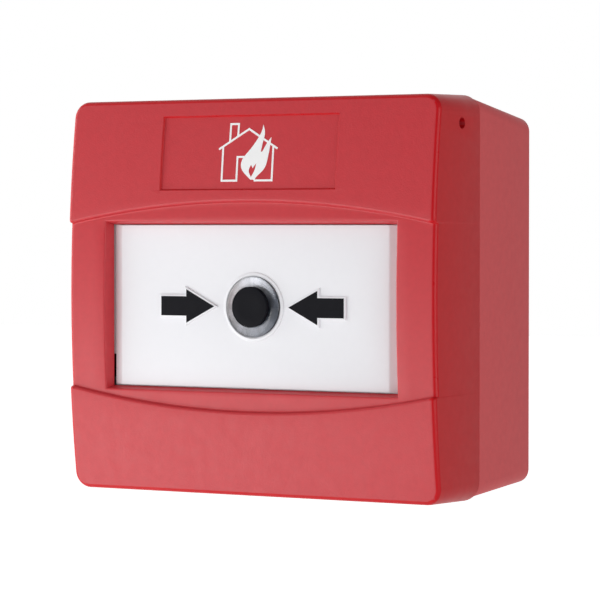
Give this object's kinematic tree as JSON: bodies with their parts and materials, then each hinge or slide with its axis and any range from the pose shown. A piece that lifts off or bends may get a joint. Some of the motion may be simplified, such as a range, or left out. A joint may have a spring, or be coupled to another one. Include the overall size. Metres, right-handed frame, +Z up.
{
  "type": "manual call point",
  "caption": "Surface-mounted red manual call point with a resettable white press plate, light ring and drop-down alarm flag.",
  "frame": {"origin": "centre of the back box's floor on the wall plane", "axes": "+X to the right seen from the front, +Y into the wall, +Z up"},
  "size_m": [0.098, 0.0478, 0.09],
  "materials": {
    "bezel_red": "red moulded ABS, satin with fine spark-eroded texture on the bands",
    "box_red": "red moulded ABS, fine matt texture",
    "white_plastic": "white semi-gloss moulding",
    "black_print": "black stamped foil",
    "clear_plastic": "clear polished polycarbonate",
    "black_plastic": "black moulding",
    "grey_plastic": "dark grey moulding",
    "screw_steel": "zinc-plated steel",
    "spring_steel": "bright spring steel",
    "board_green": "glass-fibre board with green solder mask",
    "terminal_green": "green polyamide",
    "yellow_plastic": "yellow moulding",
    "resistor_body": "lacquered carbon-film body with colour bands",
    "led_red": "tinted epoxy"
  },
  "bodies": {
    "case": {"back_box": "box_red", "chassis": "grey_plastic", "chassis_screw_1": "screw_steel", "chassis_screw_2": "screw_steel", "chassis_screw_3": "screw_steel", "chassis_screw_4": "screw_steel", "circuit_board": "board_green", "board_screw_1": "screw_steel", "board_screw_2": "screw_steel", "switch_body": "black_plastic", "terminal_block_left": "terminal_green", "terminal_block_right": "terminal_green", "terminal_screw_1": "screw_steel", "terminal_screw_2": "screw_steel", "terminal_screw_3": "screw_steel", "terminal_screw_4": "screw_steel", "terminal_screw_5": "screw_steel", "terminal_screw_6": "screw_steel", "resistor_alarm": "resistor_body", "resistor_end_of_line": "resistor_body", "indicator_led": "led_red", "light_pipe": "clear_plastic", "jumper_header": "black_plastic", "plate_spring_left": "spring_steel", "plate_spring_right": "spring_steel"},
    "bezel": {"front_bezel": "bezel_red"},
    "plate": {"operating_plate": "white_plastic", "arrow_left": "black_print", "arrow_right": "black_print", "light_ring": "clear_plastic", "button_disc": "black_plastic"},
    "flag": {"alarm_flag": "yellow_plastic"},
    "lever": {"switch_lever": "spring_steel"},
    "plunger": {"switch_plunger": "yellow_plastic"},
    "barrel": {"reset_barrel": "grey_plastic"}
  },
  "joints": [
    {"name": "bezel_release", "type": "slide", "parent": "case", "child": "bezel", "axis": [0, -1, 0], "range_m": [0, 0.03]},
    {"name": "plate_press", "type": "hinge", "parent": "case", "child": "plate", "pos_m": [0, -0.0393, -0.0205], "axis": [-1, 0, 0], "range_deg": [0, 5], "stiffness_Nm_per_rad": 1, "springref_deg": -5.73, "deforming": ["plate_spring_left", "plate_spring_right"]},
    {"name": "flag_drop", "type": "slide", "parent": "case", "child": "flag", "axis": [0, 0, -1], "range_m": [0, 0.0088]},
    {"name": "lever_swing", "type": "hinge", "parent": "case", "child": "lever", "pos_m": [0.015, -0.0392, -0.0154], "axis": [-1, 0, 0], "range_deg": [0, 7.5]},
    {"name": "plunger_travel", "type": "slide", "parent": "case", "child": "plunger", "axis": [0, 1, 0], "range_m": [0, 0.00037]},
    {"name": "reset_key_turn", "type": "hinge", "parent": "case", "child": "barrel", "pos_m": [0.024, -0.0393, -0.033], "axis": [0, 0, 1], "range_deg": [0, 90]}
  ],
  "couplings": [
    {"joint": "flag_drop", "follows": "plate_press", "m_per_rad": 0.0974},
    {"joint": "lever_swing", "follows": "plate_press", "ratio": 1.45},
    {"joint": "plunger_travel", "follows": "plate_press", "m_per_rad": 0.004}
  ]
}
